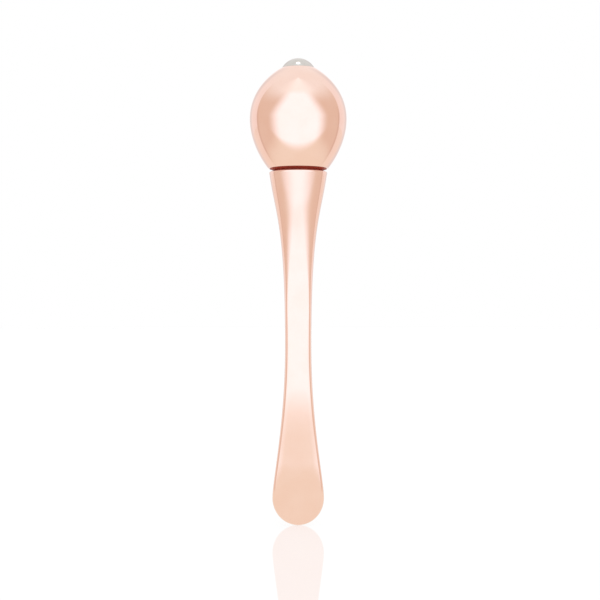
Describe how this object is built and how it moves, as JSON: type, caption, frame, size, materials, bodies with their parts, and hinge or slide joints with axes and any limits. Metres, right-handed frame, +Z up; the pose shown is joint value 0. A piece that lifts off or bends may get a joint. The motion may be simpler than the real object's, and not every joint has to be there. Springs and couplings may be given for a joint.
{
  "type": "heated eye massager wand",
  "caption": "Slim polished spatula-ended wand with a round bulb head, a sprung warm metal dome that switches it on, and a head that unscrews for its cells.",
  "frame": {"origin": "on the wand's long axis, at the end of the paddle, where the upright wand meets the surface below it", "axes": "+Z up the wand from the paddle to the dome, -Y out of the front face, X across the paddle"},
  "size_m": [0.0312, 0.0312, 0.1497],
  "materials": {
    "rose_plating": "polished",
    "polished_steel": "polished",
    "spring_steel": "satin",
    "cell_steel": "satin",
    "brass": "satin",
    "dark_silicone": "satin",
    "black_rubber": "matte",
    "ivory_plastic": "matte",
    "black_plastic": "matte",
    "board_laminate": "satin",
    "white_ceramic": "matte",
    "felt_pad": "matte",
    "lead_jacket": "satin",
    "dense_alloy": "satin"
  },
  "bodies": {
    "handle": {"handle": "rose_plating", "socket_sleeve": "brass", "battery_spring": "spring_steel"},
    "seal": {"neck_seal": "dark_silicone"},
    "head": {"bulb_shell": "rose_plating", "chassis": "ivory_plastic", "threaded_collar": "brass", "button_cells": "cell_steel", "positive_contact": "brass", "ground_strip": "brass", "motor_sleeve": "black_rubber", "motor_case": "spring_steel", "motor_endcap": "black_plastic", "motor_pins": "brass", "circuit_board": "board_laminate", "board_components": "black_plastic", "board_screws": "spring_steel", "switch_body": "black_plastic", "tip_guide": "ivory_plastic", "tip_seal": "dark_silicone", "return_spring": "spring_steel", "heater_leads": "lead_jacket"},
    "rotor": {"motor_shaft": "polished_steel", "eccentric_weight": "dense_alloy"},
    "tip": {"massage_tip": "polished_steel", "heater_disc": "white_ceramic", "thermistor": "black_plastic", "insulating_pad": "felt_pad", "tip_carriage": "ivory_plastic"},
    "plunger": {"switch_plunger": "ivory_plastic"}
  },
  "joints": [
    {"name": "neck_lift", "type": "slide", "parent": "handle", "child": "seal", "axis": [0, 0, 1], "range_m": [0, 0.0075]},
    {"name": "neck_turn", "type": "hinge", "parent": "seal", "child": "head", "pos_m": [0, 0, 0.1134], "axis": [0, 0, 1], "range_deg": [0, 1080]},
    {"name": "tip_press", "type": "slide", "parent": "head", "child": "tip", "axis": [0, 0, -1], "range_m": [0, 0.0006], "stiffness_N_per_m": 400, "springref_m": -0.0008, "deforming": ["return_spring", "heater_leads"]},
    {"name": "switch_press", "type": "slide", "parent": "head", "child": "plunger", "axis": [0, 0, -1], "range_m": [0, 0.0006]},
    {"name": "motor_spin", "type": "hinge", "parent": "head", "child": "rotor", "pos_m": [0, 0, 0.13], "axis": [0, 0, 1], "continuous": true}
  ],
  "couplings": [
    {"joint": "neck_turn", "follows": "neck_lift", "rad_per_m": 2513.3},
    {"joint": "switch_press", "follows": "tip_press", "ratio": 1}
  ]
}
